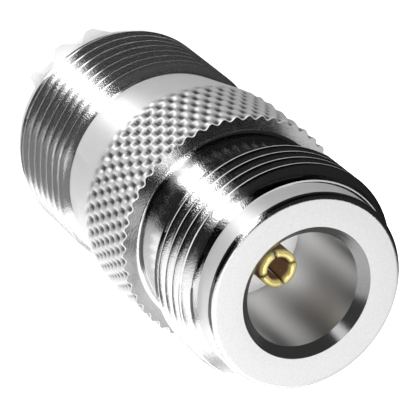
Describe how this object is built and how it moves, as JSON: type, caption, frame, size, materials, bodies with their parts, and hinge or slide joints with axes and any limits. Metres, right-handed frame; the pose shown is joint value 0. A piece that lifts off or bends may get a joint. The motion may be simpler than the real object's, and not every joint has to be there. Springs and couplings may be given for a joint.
{
  "type": "coax adapter",
  "caption": "Straight in-line adapter with a threaded female coaxial socket at each end, a knurled collar between them and a castellated rim.",
  "frame": {"origin": "centre of the circle through the tips of the rim teeth, on the plane that the part stands on", "axes": "+Z along the adapter's axis, from the large end up to the small end's front face; +X and +Y square to it, with the picture's camera on the -Y side"},
  "size_m": [0.0168, 0.0168, 0.0324],
  "materials": {
    "nickel_plate": "bright nickel plate on turned brass, satin on the knurl, the cone and the front ring",
    "ptfe": "matt white, machined",
    "gold_plate": "bright gold plate"
  },
  "bodies": {
    "root": {"body": "nickel_plate", "small_insulator": "ptfe", "large_insulator": "ptfe", "small_contact": "gold_plate", "large_contact": "gold_plate", "retaining_ring": "nickel_plate"}
  },
  "joints": []
}
